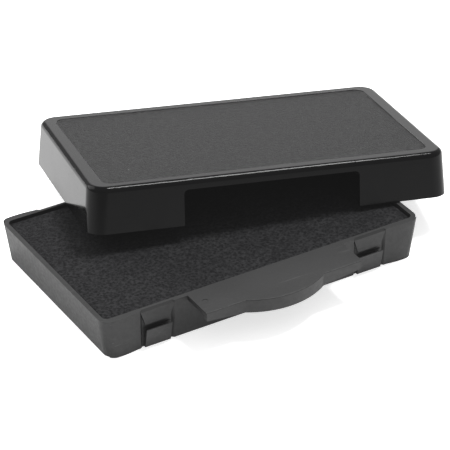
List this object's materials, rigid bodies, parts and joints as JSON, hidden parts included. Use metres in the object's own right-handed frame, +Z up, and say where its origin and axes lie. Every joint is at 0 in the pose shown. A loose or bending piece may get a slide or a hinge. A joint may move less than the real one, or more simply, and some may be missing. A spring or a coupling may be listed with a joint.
{
  "type": "ink pad cartridge",
  "caption": "Shallow black ink pad cartridge for a self-inking stamp: a foam-filled tray with a finger grip and sprung catches, its loose dust cover leaning across it.",
  "frame": {"origin": "middle of the tray's flat underside", "axes": "+X along the tray's length, -Y towards the finger grip, +Z up out of the ink foam"},
  "size_m": [0.0795, 0.0655, 0.0182],
  "materials": {
    "tray_plastic": "satin black moulding",
    "cover_plastic": "gloss black sides, fine-textured top panel",
    "ink_foam": "black, fine open-cell foam soaked with ink",
    "felt": "black ink-soaked felt"
  },
  "bodies": {
    "tray": {"tray": "tray_plastic", "ink_foam": "ink_foam", "felt_reservoir": "felt"},
    "cover": {"dust_cover": "cover_plastic"}
  },
  "joints": [
    {"name": "cover_lift", "type": "slide", "parent": "tray", "child": "cover", "axis": [0, 0, 1], "range_m": [0, 0.05]}
  ]
}
